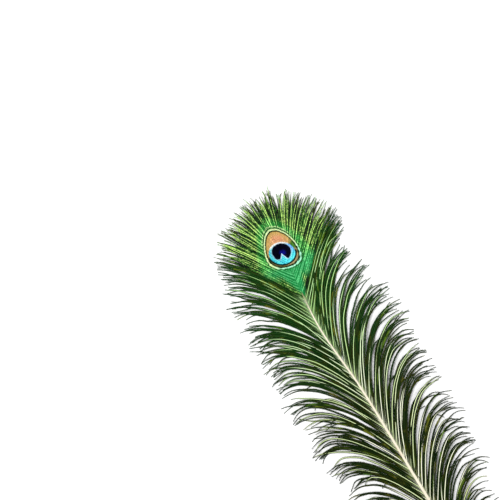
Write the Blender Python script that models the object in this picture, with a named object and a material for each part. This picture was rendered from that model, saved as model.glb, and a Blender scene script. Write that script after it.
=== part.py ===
"""A peacock's eye feather lying on a surface, face up: one closed solid, as it grew.

Metres, +Z up. The quill points along -Y and the eye's fan along +Y. The eye faces up, and
the flat underside of the shaft lies on z = 0. The origin is at the bottom centre of the box.
"""

import math

import bpy
import bmesh
import numpy as np

# The feather's driving dimensions, in metres, measured from the quill's end along +Y
EYE_CENTRE_Y = 0.525
SHAFT_END_Y = 0.522
VANE_BELOW_EYE = 0.052
VANE_ABOVE_EYE = 0.034
DIRECTION_STEP = 0.001

# The shaft's course: it drifts sideways towards the quill and bows below the eye
QUILL_DRIFT = 0.010
BOW = -0.0062
BOW_BELOW_EYE = 0.090
BOW_SPREAD = 0.055

# The shaft's width at a few places along it, hollow quill first, and its height over its width
SHAFT_WIDTHS = (
    (0.000, 0.0016),
    (0.006, 0.0034),
    (0.030, 0.0046),
    (0.100, 0.0044),
    (0.225, 0.0035),
    (0.345, 0.0026),
    (0.465, 0.0014),
    (0.522, 0.0009),
)
SHAFT_HEIGHT_OVER_WIDTH = 0.9
QUILL_END_PLACES = (0.0, 0.0015, 0.003)
SHAFT_RINGS = 38
SHAFT_SIDES = 10

# How the barbs grow, from the quill (share 0) to the fan's tip (share 1): where they leave the
# shaft, how far they reach, and the angles to the shaft of the whole barb, its root and its tip
BARB_PLAN = (
    # share, root y, reach, lean, root angle, tip angle
    (0.00, 0.058, 0.030, 48.0, 38.0, 92.0),
    (0.10, 0.100, 0.062, 50.0, 33.0, 104.0),
    (0.25, 0.165, 0.090, 49.0, 28.0, 114.0),
    (0.45, 0.260, 0.106, 46.0, 25.0, 110.0),
    (0.65, 0.355, 0.108, 43.0, 24.0, 94.0),
    (0.80, 0.430, 0.104, 41.0, 27.0, 74.0),
    (0.88, 0.468, 0.097, 43.0, 40.0, 58.0),
    (0.92, 0.496, 0.083, 41.0, 46.0, 46.0),
    (0.95, 0.511, 0.073, 32.0, 36.0, 38.0),
    (1.00, 0.521, 0.064, 0.4, 0.4, 2.0),
)
RIGHT_LEANS_OUT = 2.5
LEAN_FADE_POWER = 8
BEND_HANDLE = 0.36
ROOT_HEIGHT_ON_SHAFT = 0.6

# The locks, each standing for the barbs that lie together, on each side of the shaft
SIDE_LOCKS = 26
SIDE_LOCK_SHARES = (0.0, 0.865)
SIDE_LOCK_HALF_WIDTH = 0.0033
SIDE_LOCK_ARCH = 0.0065
LOWEST_LOCK_SIZE = 0.45
LOCKS_FULL_GROWN_SHARE = 0.45
FAN_LOCKS = 11
FAN_LOCK_SHARES = (0.885, 0.993)
FAN_LOCK_HALF_WIDTH = 0.0024
FAN_LOCK_ARCH = 0.0014
LOCK_LEAN_SPREAD = 2.0
LOCK_SEED = 11

# A lock reaches as far as the longest of its barbs, which is past the plan's reach
LOCK_TO_LONGEST_BARB = 1.06
LOCK_REACH_SPREAD = 0.03

# A lock's section along its length
LOCK_SWELL_POWER = 0.6
LOCK_TAPER_POWER = 0.5
LOCK_ROOT_HALF_WIDTH = 0.0006
LOCK_TIP_HALF_WIDTH = 0.0003
LOCK_THICKNESS = 0.0012
LOCK_TIP_THICKNESS = 0.0005
LOCK_TIP_Z = 0.0008
LOCK_STATIONS = 10

# The closed vane that carries the eye: the barbs there hold together in one sheet
VANE_HALF_WIDTH = 0.0235
VANE_RISE_POWER = 1.1
VANE_FALL_POWER = 0.6
VANE_MIDDLE_Z = 0.0011
VANE_THICKNESS = 0.0015
VANE_EDGE_THICKNESS = 0.0005
VANE_ROWS = 16
VANE_COLUMNS = (-1.0, -0.6, 0.0, 0.6, 1.0)
VANE_END_SHARE = 0.02

FEATHER_COLOUR = (0.045, 0.105, 0.030, 1.0)
FEATHER_ROUGHNESS = 0.5
FEATHER_METALLIC = 0.15
SHARP_ANGLE = math.radians(40.0)


def clear_scene():
    for old in list(bpy.data.objects):
        bpy.data.objects.remove(old, do_unlink=True)


def shaft_x(y):
    """The shaft's sideways place at the height y above the quill's end."""
    below = EYE_CENTRE_Y - y
    drift = QUILL_DRIFT * (below / EYE_CENTRE_Y) ** 2
    bow = BOW * math.exp(-(((below - BOW_BELOW_EYE) / BOW_SPREAD) ** 2))
    return drift + bow


def shaft_direction(y):
    """The shaft's unit direction at y, towards the eye, as (x, y)."""
    sideways = shaft_x(y + DIRECTION_STEP) - shaft_x(y - DIRECTION_STEP)
    run = np.array([sideways, 2 * DIRECTION_STEP])
    return run / np.linalg.norm(run)


def shaft_width(y):
    places, widths = zip(*SHAFT_WIDTHS)
    return float(np.interp(y, places, widths))


def shaft_height(y):
    return SHAFT_HEIGHT_OVER_WIDTH * shaft_width(y)


def barb_plan(share):
    """Root y, reach, and the lean, root and tip angles in radians, of the barb at this share."""
    shares, *columns = zip(*BARB_PLAN)
    root_y, reach, *angles = (float(np.interp(share, shares, column)) for column in columns)
    return root_y, reach, *(math.radians(angle) for angle in angles)


def barb_curve(share, side, arch, turned=0.0, longer=1.0):
    """The four Bezier points of a barb's middle line on one side (1 right, -1 left).

    turned, in degrees, and longer are how far this one strays from the plan.
    """
    root_y, reach, lean, root_angle, tip_angle = barb_plan(share)
    loose = 1.0 - share**LEAN_FADE_POWER
    outwards = math.radians((side * RIGHT_LEANS_OUT / 2 + turned) * loose)
    lean, root_angle, tip_angle = lean + outwards, root_angle + outwards, tip_angle + outwards
    reach *= longer
    forward = shaft_direction(root_y)
    across = side * np.array([forward[1], -forward[0]])

    def heading(angle):
        flat = math.cos(angle) * forward + math.sin(angle) * across
        return np.array([flat[0], flat[1], 0.0])

    root = np.array([shaft_x(root_y), root_y, ROOT_HEIGHT_ON_SHAFT * shaft_height(root_y)])
    tip = root + reach * heading(lean)
    tip[2] = LOCK_TIP_Z
    handle = BEND_HANDLE * reach
    leaving = root + handle * heading(root_angle)
    arriving = tip - handle * heading(tip_angle)
    leaving[2] += arch
    arriving[2] += arch
    return root, leaving, arriving, tip


def bezier(points, t):
    root, leaving, arriving, tip = points
    s = 1.0 - t
    return s**3 * root + 3 * s**2 * t * leaving + 3 * s * t**2 * arriving + t**3 * tip


def bezier_direction(points, t):
    root, leaving, arriving, tip = points
    s = 1.0 - t
    run = s**2 * (leaving - root) + 2 * s * t * (arriving - leaving) + t**2 * (tip - arriving)
    return run / np.linalg.norm(run)


def loft(shape, rings):
    """Adds one closed body to a bmesh: equal rings of corners, joined in turn and capped."""
    loops = [[shape.verts.new(corner) for corner in ring] for ring in rings]
    count = len(loops[0])
    for near, far in zip(loops, loops[1:]):
        for i in range(count):
            j = (i + 1) % count
            shape.faces.new((near[i], near[j], far[j], far[i]))
    shape.faces.new(list(reversed(loops[0])))
    shape.faces.new(loops[-1])


def shaft_ring(y):
    """The shaft's section at y: a round top and sides on a flat underside at z = 0."""
    width, height = shaft_width(y), shaft_height(y)
    forward = shaft_direction(y)
    across = np.array([forward[1], -forward[0]])
    half_step = math.pi / SHAFT_SIDES
    lowest = -math.cos(half_step)
    ring = []
    for i in range(SHAFT_SIDES):
        angle = -math.pi / 2 + half_step + 2 * math.pi * i / SHAFT_SIDES
        sideways = 0.5 * width * math.cos(angle)
        z = height * (math.sin(angle) - lowest) / (1.0 - lowest)
        ring.append((shaft_x(y) + sideways * across[0], y + sideways * across[1], z))
    return ring


def add_shaft(shape):
    """The quill and the shaft in one: rings stand closer together at the quill's rounded end."""
    places = np.linspace(SHAFT_WIDTHS[1][0], SHAFT_END_Y, SHAFT_RINGS)
    loft(shape, [shaft_ring(y) for y in (*QUILL_END_PLACES, *places)])


def leaf_width(share, rise_power, fall_power):
    """A leaf's width from its foot (share 0) to its top (share 1), which is 1 at its widest."""
    peak = rise_power / (rise_power + fall_power)
    most = peak**rise_power * (1.0 - peak) ** fall_power
    return share**rise_power * (1.0 - share) ** fall_power / most


def lock_half_width(t, widest):
    """A lock is narrow where it leaves the shaft, widest past its middle, and ends in a point."""
    ends = (1.0 - t) * LOCK_ROOT_HALF_WIDTH + t * LOCK_TIP_HALF_WIDTH
    swell = leaf_width(t, LOCK_SWELL_POWER, LOCK_TAPER_POWER)
    return ends + (widest - LOCK_ROOT_HALF_WIDTH) * swell


def add_lock(shape, chance, share, side, widest, arch):
    """One lock: a blade of four-cornered section along its barb's curve."""
    turned = chance.uniform(-LOCK_LEAN_SPREAD, LOCK_LEAN_SPREAD)
    longer = LOCK_TO_LONGEST_BARB + chance.uniform(-LOCK_REACH_SPREAD, LOCK_REACH_SPREAD)
    curve = barb_curve(share, side, arch, turned, longer)
    rings = []
    for t in np.linspace(0.0, 1.0, LOCK_STATIONS):
        middle = bezier(curve, t)
        run = bezier_direction(curve, t)
        sideways = np.array([run[1], -run[0], 0.0])
        sideways *= lock_half_width(t, widest) / np.linalg.norm(sideways)
        half_thick = 0.5 * (LOCK_THICKNESS + t * (LOCK_TIP_THICKNESS - LOCK_THICKNESS))
        up = np.array([0.0, 0.0, half_thick])
        middle[2] = max(middle[2], half_thick)
        rings.append((middle + sideways, middle + up, middle - sideways, middle - up))
    loft(shape, rings)


def add_locks(shape):
    chance = np.random.default_rng(LOCK_SEED)
    for side in (1, -1):
        for share in np.linspace(*SIDE_LOCK_SHARES, SIDE_LOCKS):
            grown = min(1.0, LOWEST_LOCK_SIZE + share / LOCKS_FULL_GROWN_SHARE)
            widest, arch = grown * SIDE_LOCK_HALF_WIDTH, grown * SIDE_LOCK_ARCH
            add_lock(shape, chance, share, side, widest, arch)
        for share in np.linspace(*FAN_LOCK_SHARES, FAN_LOCKS):
            add_lock(shape, chance, share, side, FAN_LOCK_HALF_WIDTH, FAN_LOCK_ARCH)


def add_eye_vane(shape):
    """The closed vane: a thin lens on the outline of a drop, its point down the shaft."""
    length = VANE_BELOW_EYE + VANE_ABOVE_EYE
    rings = []
    for share in np.linspace(VANE_END_SHARE, 1.0 - VANE_END_SHARE, VANE_ROWS):
        y = EYE_CENTRE_Y - VANE_BELOW_EYE + share * length
        half = VANE_HALF_WIDTH * leaf_width(share, VANE_RISE_POWER, VANE_FALL_POWER)
        upper, lower = [], []
        for column in VANE_COLUMNS:
            thick = VANE_THICKNESS + abs(column) * (VANE_EDGE_THICKNESS - VANE_THICKNESS)
            x = shaft_x(min(y, SHAFT_END_Y)) + column * half
            upper.append((x, y, VANE_MIDDLE_Z + 0.5 * thick))
            lower.append((x, y, VANE_MIDDLE_Z - 0.5 * thick))
        rings.append(lower + upper[::-1])
    loft(shape, rings)


def new_object(name, shape):
    """Makes an object of a bmesh whose bodies are closed, with their faces turned outwards."""
    bmesh.ops.recalc_face_normals(shape, faces=shape.faces)
    bmesh.ops.triangulate(shape, faces=shape.faces)
    mesh = bpy.data.meshes.new(name)
    shape.to_mesh(mesh)
    shape.free()
    made = bpy.data.objects.new(name, mesh)
    bpy.context.scene.collection.objects.link(made)
    return made


def grow_together(feather, growth):
    """Joins the locks and the vane to the shaft in one body."""
    union = feather.modifiers.new("grown together", "BOOLEAN")
    union.operation = "UNION"
    union.solver = "EXACT"
    union.use_self = True
    union.object = growth
    bpy.context.view_layer.update()
    seen = feather.evaluated_get(bpy.context.evaluated_depsgraph_get())
    whole = bpy.data.meshes.new_from_object(seen)
    feather.modifiers.clear()
    feather.data = whole
    bpy.data.objects.remove(growth, do_unlink=True)


def connected_skins(shape):
    """The separate skins of a bmesh, each a list of its faces."""
    left, skins = set(shape.faces), []
    while left:
        skin, edge_of_search = [], [left.pop()]
        while edge_of_search:
            face = edge_of_search.pop()
            skin.append(face)
            for edge in face.edges:
                for neighbour in edge.link_faces:
                    if neighbour in left:
                        left.remove(neighbour)
                        edge_of_search.append(neighbour)
        skins.append(skin)
    return skins


def fill_pockets(feather):
    """Makes the body solid where crossing locks closed small pockets between them."""
    shape = bmesh.new()
    shape.from_mesh(feather.data)
    bmesh.ops.triangulate(shape, faces=shape.faces)
    skins = sorted(connected_skins(shape), key=len)
    pockets = [face for skin in skins[:-1] for face in skin]
    bmesh.ops.delete(shape, geom=pockets, context="FACES")
    shape.to_mesh(feather.data)
    shape.free()


def centre_on_origin(feather):
    """Moves the mesh so that the origin is at the bottom centre of its box."""
    corners = np.array([corner.co for corner in feather.data.vertices])
    low, high = corners.min(axis=0), corners.max(axis=0)
    shift = np.array([(low[0] + high[0]) / 2, (low[1] + high[1]) / 2, low[2]])
    for corner in feather.data.vertices:
        corner.co = [float(a - b) for a, b in zip(corner.co, shift)]


def feather_material():
    """Green-bronze barbs, seen from a step away."""
    made = bpy.data.materials.new("feather")
    made.use_nodes = True
    shader = made.node_tree.nodes["Principled BSDF"]
    shader.inputs["Base Color"].default_value = FEATHER_COLOUR
    shader.inputs["Roughness"].default_value = FEATHER_ROUGHNESS
    shader.inputs["Metallic"].default_value = FEATHER_METALLIC
    return made


def build():
    clear_scene()
    shaft = bmesh.new()
    add_shaft(shaft)
    growth = bmesh.new()
    add_eye_vane(growth)
    add_locks(growth)
    feather = new_object("feather", shaft)
    grow_together(feather, new_object("growth", growth))
    fill_pockets(feather)
    centre_on_origin(feather)
    feather.data.materials.clear()
    feather.data.materials.append(feather_material())
    feather.data.set_sharp_from_angle(angle=SHARP_ANGLE)


build()
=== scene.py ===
"""The looks of a peacock's eye feather, lying face up: shaft, loose barbs, down and eyed fan.

Metres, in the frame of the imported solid: +Y from the quill's end to the fan's tip, +Z up.
"""

import math

import bpy
import numpy as np
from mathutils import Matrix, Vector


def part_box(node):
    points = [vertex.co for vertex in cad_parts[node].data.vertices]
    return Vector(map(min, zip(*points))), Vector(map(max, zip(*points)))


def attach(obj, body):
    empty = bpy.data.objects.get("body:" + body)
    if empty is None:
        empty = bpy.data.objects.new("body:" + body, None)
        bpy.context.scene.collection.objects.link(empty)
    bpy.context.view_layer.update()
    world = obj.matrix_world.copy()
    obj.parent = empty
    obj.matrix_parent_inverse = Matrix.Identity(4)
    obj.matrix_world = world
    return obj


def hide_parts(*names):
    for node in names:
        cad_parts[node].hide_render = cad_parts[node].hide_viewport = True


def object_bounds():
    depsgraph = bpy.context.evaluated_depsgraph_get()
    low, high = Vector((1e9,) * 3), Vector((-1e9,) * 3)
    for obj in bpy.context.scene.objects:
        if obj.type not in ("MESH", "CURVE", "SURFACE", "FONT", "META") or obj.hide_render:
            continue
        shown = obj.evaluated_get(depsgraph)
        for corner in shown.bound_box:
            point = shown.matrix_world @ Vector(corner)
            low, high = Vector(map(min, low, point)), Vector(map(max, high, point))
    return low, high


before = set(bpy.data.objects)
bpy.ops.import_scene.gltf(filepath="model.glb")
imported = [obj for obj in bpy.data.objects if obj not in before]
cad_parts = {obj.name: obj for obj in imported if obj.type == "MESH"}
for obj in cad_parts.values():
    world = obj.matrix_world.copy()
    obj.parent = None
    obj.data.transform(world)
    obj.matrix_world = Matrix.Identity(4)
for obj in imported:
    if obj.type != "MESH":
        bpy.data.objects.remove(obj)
CAD_LOW, CAD_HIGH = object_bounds()

MM = 0.001

# The feather's driving dimensions, as in the solid, measured from the quill's end along +Y
EYE_CENTRE_Y = 0.525
SHAFT_END_Y = 0.522
VANE_BELOW_EYE = 0.052
VANE_ABOVE_EYE = 0.034
QUILL_DRIFT = 0.010
BOW = -0.0062
BOW_BELOW_EYE = 0.090
BOW_SPREAD = 0.055
DIRECTION_STEP = 0.001
SHAFT_WIDTHS = (
    (0.000, 0.0016),
    (0.006, 0.0034),
    (0.030, 0.0046),
    (0.100, 0.0044),
    (0.225, 0.0035),
    (0.345, 0.0026),
    (0.465, 0.0014),
    (0.522, 0.0009),
)
SHAFT_FLATNESS = 0.9
VANE_HALF_WIDTH = 0.0235
VANE_RISE_POWER = 1.1
VANE_FALL_POWER = 0.6

# How the barbs grow, from the quill (share 0) to the fan's tip (share 1), as in the solid
BARB_PLAN = (
    # share, root y, reach, lean, root angle, tip angle
    (0.00, 0.058, 0.030, 48.0, 38.0, 92.0),
    (0.10, 0.100, 0.062, 50.0, 33.0, 104.0),
    (0.25, 0.165, 0.090, 49.0, 28.0, 114.0),
    (0.45, 0.260, 0.106, 46.0, 25.0, 110.0),
    (0.65, 0.355, 0.108, 43.0, 24.0, 94.0),
    (0.80, 0.430, 0.104, 41.0, 27.0, 74.0),
    (0.88, 0.468, 0.097, 43.0, 40.0, 58.0),
    (0.92, 0.496, 0.083, 41.0, 46.0, 46.0),
    (0.95, 0.511, 0.073, 32.0, 36.0, 38.0),
    (1.00, 0.521, 0.064, 0.4, 0.4, 2.0),
)
RIGHT_LEANS_OUT = 2.5
LEAN_FADE_POWER = 8
BEND_HANDLE = 0.36
ROOT_HEIGHT_ON_SHAFT = 0.45
FAN_ROOT_HEIGHT_ON_SHAFT = 1.25
FAN_COVERS_SHAFT_SHARES = (0.88, 0.90)

# The loose barbs along the shaft
LOOSE_FROM_Y, LOOSE_TO_Y = 0.062, 0.470
LOOSE_SPACING = (0.0022, 0.00145)
LOOSE_SPLIT_Y = 0.292
LOOSE_ARCH = (0.0010, 0.0058)
# Pale and dull barbs: partly their own tones, partly painted light and shade, lit over shaded
LOOSE_PALE_EVERY = 4
PALE = (0.65, 1.0)
DULL = (0.0, 0.35)
PALE_LIFT = 0.0008
DULLER_NEAR_FAN = ((0.380, 0.455), (1.0, 0.78))
LOOSE_TIP_Z = (0.0010, 0.0034)
LOOSE_DRIFTS_OVER = 5
LOOSE_TURN = (2.2, 1.7)
MOST_TURN = 5.5
LOOSE_CURL = (8.0, 12.0)
LOOSE_LENGTH = (0.025, 0.045)
LONGEST = 1.07
CALM_NEAR_FAN = ((0.410, 0.468), (1.0, 0.3))
STRAY_SHARE = 0.12
STRAYS_UP_TO_Y = 0.425
STRAY_TURN = (-15.0, 3.0)
STRAY_CURL = (-25.0, 55.0)
STRAY_LENGTH = (0.70, 1.0)

# The fan round the eye
FAN_BARBS = 96
FAN_TURN = 0.12
OPENING_STEPS = 41
FAN_OPENS_STRAYS, FAN_OPENS_LEAST = 0.02, 0.05
FAN_SHARES = (0.880, 1.0)
FAN_ARCH = (0.0012, 0.0022)
FAN_DRIFTS_OVER = 6
FAN_CURL = (0.0024, 0.0022)
FAN_LENGTH = (0.03, 0.045)
FAN_PALE_TUFT = (1, 3)
FAN_DULL_TUFT = (2, 4)
FAN_TUFT_PULL = 0.75
FAN_TUFTS_ALTERNATE = 0.88
FAN_TIP_Z = (0.0010, 0.0030)
FAN_DULL_AT_START = ((0, 26), (0.45, 1.0))

# The down at the quill
DOWN_FROM_Y, DOWN_TO_Y = 0.046, 0.104
DOWN_SPACING = 0.0016
DOWN_REACH = (0.014, 0.030)
DOWN_LENGTHS = (0.75, 1.15)
DOWN_TURN = (4.0, 8.0)
DOWN_CURL = 30.0
DOWN_ARCH = (0.0005, 0.0045)
DOWN_TIP_Z = (0.0004, 0.004)
DOWN_PALENESS = 0.5

# The quill's end rounds off over the first of these places
QUILL_END_PLACES = (0.0, 0.0003, 0.0008, 0.0016, 0.0028, 0.0042)
QUILL_END_NARROWS_TO = 0.55
SHAFT_STATIONS = 150

CURVE_POINTS = ("root", "leaving", "arriving", "tip")
TO_NEXT_POINTS = ("root_gap", "leaving_gap", "arriving_gap", "tip_gap")


# -------- the feather's plan


def shaft_x(y):
    """The shaft's sideways place at the height y above the quill's end."""
    below = EYE_CENTRE_Y - y
    drift = QUILL_DRIFT * (below / EYE_CENTRE_Y) ** 2
    bow = BOW * math.exp(-(((below - BOW_BELOW_EYE) / BOW_SPREAD) ** 2))
    return drift + bow


def plan_to_frame():
    """The step from the plan, which starts at the quill's end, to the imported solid's frame."""
    quill_slice = 0.0002
    low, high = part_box("feather")
    corners = [corner.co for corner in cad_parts["feather"].data.vertices]
    quill = [corner.x for corner in corners if corner.y < low.y + quill_slice]
    middle = (min(quill) + max(quill)) / 2
    return np.array([middle - shaft_x(0.0), low.y, low.z])


PLAN_STEP = plan_to_frame()
EYE_X, QUILL_Y, _ = PLAN_STEP.tolist()
EYE_Y = EYE_CENTRE_Y + QUILL_Y


def shaft_direction(y):
    """The shaft's unit direction at y, towards the eye, as (x, y)."""
    sideways = shaft_x(y + DIRECTION_STEP) - shaft_x(y - DIRECTION_STEP)
    run = np.array([sideways, 2 * DIRECTION_STEP])
    return run / np.linalg.norm(run)


def shaft_width(y):
    return float(np.interp(y, *zip(*SHAFT_WIDTHS)))


def barb_plan(share):
    """Root y, reach, and the lean, root and tip angles in radians, of the barb at this share."""
    shares, *columns = zip(*BARB_PLAN)
    root_y, reach, *angles = (float(np.interp(share, shares, column)) for column in columns)
    return root_y, reach, *(math.radians(angle) for angle in angles)


def share_at(y):
    """The share of the barb that leaves the shaft at y."""
    shares, places, *_ = zip(*BARB_PLAN)
    return float(np.interp(y, places, shares))


def barb_curve(share, side, turned=0.0, curled=0.0, longer=1.0, arch=0.0, tip_z=0.0):
    """The four Bezier points of a barb's middle line on one side (1 right, -1 left).

    turned and curled, in degrees, and longer are how far this one strays from the plan.
    """
    root_y, reach, lean, root_angle, tip_angle = barb_plan(share)
    loose = 1.0 - share**LEAN_FADE_POWER
    outwards = math.radians((side * RIGHT_LEANS_OUT / 2 + turned) * loose)
    lean, root_angle = lean + outwards, root_angle + outwards
    tip_angle += outwards + math.radians(curled)
    reach *= longer
    forward = shaft_direction(root_y)
    across = side * np.array([forward[1], -forward[0]])

    def heading(angle):
        flat = math.cos(angle) * forward + math.sin(angle) * across
        return np.array([flat[0], flat[1], 0.0])

    heights = (ROOT_HEIGHT_ON_SHAFT, FAN_ROOT_HEIGHT_ON_SHAFT)
    height_on_shaft = np.interp(share, FAN_COVERS_SHAFT_SHARES, heights)
    root_z = height_on_shaft * SHAFT_FLATNESS * shaft_width(root_y)
    root = np.array([shaft_x(root_y), root_y, root_z])
    tip = root + reach * heading(lean)
    tip[2] = tip_z
    handle = BEND_HANDLE * reach
    leaving = root + handle * heading(root_angle)
    arriving = tip - handle * heading(tip_angle)
    leaving[2] += arch
    arriving[2] += arch
    return np.array([root, leaving, arriving, tip])


def between(ends, share):
    """The place a share of the way from one end to the other, in numbers or in nodes."""
    return ends[0] + share * (ends[1] - ends[0])


def bezier(points, t):
    """The place at t on the curve of four points, in numbers or in nodes."""
    s = 1.0 - t
    weights = (s * s * s, 3.0 * s * s * t, 3.0 * s * t * t, t * t * t)
    return sum(weight * point for weight, point in zip(weights, points))


def vane_half_width(share):
    """Half the closed vane's width, from its point on the shaft (0) to its top (1)."""
    peak = VANE_RISE_POWER / (VANE_RISE_POWER + VANE_FALL_POWER)
    most = peak**VANE_RISE_POWER * (1.0 - peak) ** VANE_FALL_POWER
    return VANE_HALF_WIDTH * share**VANE_RISE_POWER * (1.0 - share) ** VANE_FALL_POWER / most


def in_closed_vane(point):
    share = (point[1] - EYE_CENTRE_Y + VANE_BELOW_EYE) / (VANE_BELOW_EYE + VANE_ABOVE_EYE)
    if not 0.0 < share < 1.0:
        return False
    middle = shaft_x(min(point[1], SHAFT_END_Y))
    return abs(point[0] - middle) < vane_half_width(share)


def opening_place(curve):
    """How far along its curve a barb leaves the closed vane."""
    steps = np.linspace(0.0, 1.0, OPENING_STEPS)
    inside = [t for t in steps if in_closed_vane(bezier(curve, t))]
    return max(inside, default=0.0)


# -------- node maths


def is_vector(value):
    if isinstance(value, Value):
        return value.socket.type in ("VECTOR", "RGBA")
    return isinstance(value, tuple)


def work_of(*values):
    """The node work that one of these values comes from."""
    return next(value.work for value in values if isinstance(value, Value))


def maths(operation, *values, kind="ShaderNodeMath", output=0):
    settings = {"operation": operation}
    return work_of(*values).add(kind, settings, dict(enumerate(values)), output)


def vector_maths(operation, *values, output=0):
    return maths(operation, *values, kind="ShaderNodeVectorMath", output=output)


def combine(operation, first, second):
    kind = vector_maths if is_vector(first) or is_vector(second) else maths
    return kind(operation, first, second)


class Value:
    """A socket whose Python operators add the maths nodes for them."""

    def __init__(self, work, socket):
        self.work, self.socket = work, socket

    def __add__(self, other):
        return combine("ADD", self, other)

    def __radd__(self, other):
        return combine("ADD", other, self)

    def __sub__(self, other):
        return combine("SUBTRACT", self, other)

    def __rsub__(self, other):
        return combine("SUBTRACT", other, self)

    def __mul__(self, other):
        return combine("MULTIPLY", self, other)

    def __rmul__(self, other):
        return combine("MULTIPLY", other, self)

    def __truediv__(self, other):
        return combine("DIVIDE", self, other)

    def __gt__(self, other):
        return combine("GREATER_THAN", self, other)

    def __lt__(self, other):
        return combine("LESS_THAN", self, other)

    def __abs__(self):
        return maths("ABSOLUTE", self)


class NodeWork:
    """Adds nodes to one tree. What goes into a socket is a number, a tuple or a Value."""

    def __init__(self, tree):
        self.tree = tree

    def add(self, kind, settings=None, inputs=None, output=0, **named):
        """Adds a node. Its inputs are given by number or label, or by name as in fill."""
        node = self.tree.nodes.new(kind)
        for name, value in (settings or {}).items():
            setattr(node, name, value)
        for key, value in (inputs or {}).items():
            self.put(node.inputs[key], value)
        self.fill(node, named)
        return Value(self, node.outputs[output]) if node.outputs else None

    def fill(self, node, named):
        """Puts values on a node's inputs by name, with _ for a space."""
        for name, value in named.items():
            self.put(node.inputs[name.replace("_", " ")], value)

    def put(self, socket, value):
        if isinstance(value, Value):
            self.tree.links.new(value.socket, socket)
        elif socket.type == "VECTOR" and not isinstance(value, tuple):
            socket.default_value = (value,) * 3
        elif socket.type == "RGBA":
            socket.default_value = (*value, 1.0)
        else:
            socket.default_value = value

    def attribute(self, name):
        """A number that the mesh carries, read in a material."""
        return self.add("ShaderNodeAttribute", {"attribute_name": name}, output="Fac")

    def field(self, name, data_type="FLOAT"):
        """A number or vector that the geometry carries, read in a geometry tree."""
        return self.add("GeometryNodeInputNamedAttribute", {"data_type": data_type}, Name=name)

    def chance(self, low, high, seed):
        """A random number for each point of a geometry."""
        inputs = {2: low, 3: high, "Seed": seed}
        return self.add("FunctionNodeRandomValue", {"data_type": "FLOAT"}, inputs, output=1)

    def position(self):
        """Where each point of the geometry is, as three numbers."""
        return parts(self.add("GeometryNodeInputPosition"))


def highest(first, second):
    return maths("MAXIMUM", first, second)


def lowest(first, second):
    return maths("MINIMUM", first, second)


def smooth(value, start, end):
    """0 before start and 1 after end, or the other way round where start is the larger."""
    settings = {"interpolation_type": "SMOOTHSTEP"}
    return value.work.add("ShaderNodeMapRange", settings, Value=value, From_Min=start, From_Max=end)


def band(value, start, end, soft):
    """1 between start and end, which fades out over soft on both sides."""
    return smooth(value, start - soft, start) * smooth(value, end + soft, end)


def oval(across, up, centre, halves):
    """1 on the rim of an oval, less inside it and more outside."""
    along = (across - centre[0]) / halves[0]
    over = (up - centre[1]) / halves[1]
    return maths("SQRT", along * along + over * over)


def outputs(value):
    """All the outputs of the node that a value comes from."""
    return [Value(value.work, socket) for socket in value.socket.node.outputs]


def parts(vector):
    return outputs(vector.work.add("ShaderNodeSeparateXYZ", Vector=vector))


def vector(x, y, z):
    return work_of(x, y, z).add("ShaderNodeCombineXYZ", X=x, Y=y, Z=z)


def noise(x, y, z=0.0, detail=2.0, roughness=0.5):
    """A random course from 0 to 1, with about one hill in each unit of the place."""
    inputs = {"Vector": vector(x, y, z), "Scale": 1.0, "Detail": detail, "Roughness": roughness}
    return x.work.add("ShaderNodeTexNoise", inputs=inputs)


def mix(factor, first, second):
    """A colour between two, first where factor is 0 and second where it is 1."""
    inputs = {0: factor, 6: first, 7: second}
    return work_of(factor, first).add("ShaderNodeMix", {"data_type": "RGBA"}, inputs, output=2)


def blend(first, second, value, start, end, most=1.0):
    """The first colour, with up to most of the second as value runs from start to end."""
    return mix(smooth(value, start, end) * most, first, second)


def store(geometry, name, value, data_type="FLOAT", domain="POINT"):
    settings = {"data_type": data_type, "domain": domain}
    inputs = {"Geometry": geometry, "Name": name, "Value": value}
    return geometry.work.add("GeometryNodeStoreNamedAttribute", settings, inputs)


def placed(geometry, place):
    return geometry.work.add("GeometryNodeSetPosition", Geometry=geometry, Position=place)


def realized(geometry):
    return geometry.work.add("GeometryNodeRealizeInstances", Geometry=geometry)


def join(first, second):
    joined = first.work.add("GeometryNodeJoinGeometry", Geometry=first)
    joined.work.put(joined.socket.node.inputs[0], second)
    return joined


# -------- geometry trees


def geometry_tree(name, sizes):
    """A Geometry Nodes tree with a named input for each size, and its inputs as Values."""
    tree = bpy.data.node_groups.new(name, "GeometryNodeTree")
    kinds = {label: "Int" if isinstance(size, int) else "Float" for label, size in sizes.items()}
    kinds = {"Roots": "Geometry", **kinds, "Material": "Material"}
    for label, kind in kinds.items():
        tree.interface.new_socket(label, in_out="INPUT", socket_type="NodeSocket" + kind)
    tree.interface.new_socket("Grown", in_out="OUTPUT", socket_type="NodeSocketGeometry")
    work = NodeWork(tree)
    entry = work.add("NodeGroupInput").socket.node
    return work, {socket.name: Value(work, socket) for socket in entry.outputs if socket.name}


def finish_tree(work, geometry, material):
    """Every tree ends in realized instances with their material on."""
    geometry = realized(geometry)
    finished = work.add("GeometryNodeSetMaterial", Geometry=geometry, Material=material)
    work.add("NodeGroupOutput", Grown=finished)
    return work.tree


# A barb's tint also picks its course through the noise that waves it. Barbs wave mostly sideways.
WAVE_SEEDS = 97.0
WAVE_WAYS = (2.0, 2.0, 0.6)

# How far the barbules' angle, rise and length stray, and where on a barb they start
BARBULE_ANGLE_STRAYS = 0.16
BARBULE_RISE = (-0.15, 0.10)
BARBULE_LENGTHS = (0.75, 1.15)
BARBULE_HEIGHT_OVER_WIDTH = 0.3
BARBULES_FROM_GROWN = 0.08

# A dark loose barb's stem width and what a pale one has more, as shares of the stem's size
DARK_STEM, PALE_STEM_MORE = 0.6, 1.1
TIP_NARROWS_BY = 0.8
GROOVE_NARROWNESS = 14.0

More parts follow.
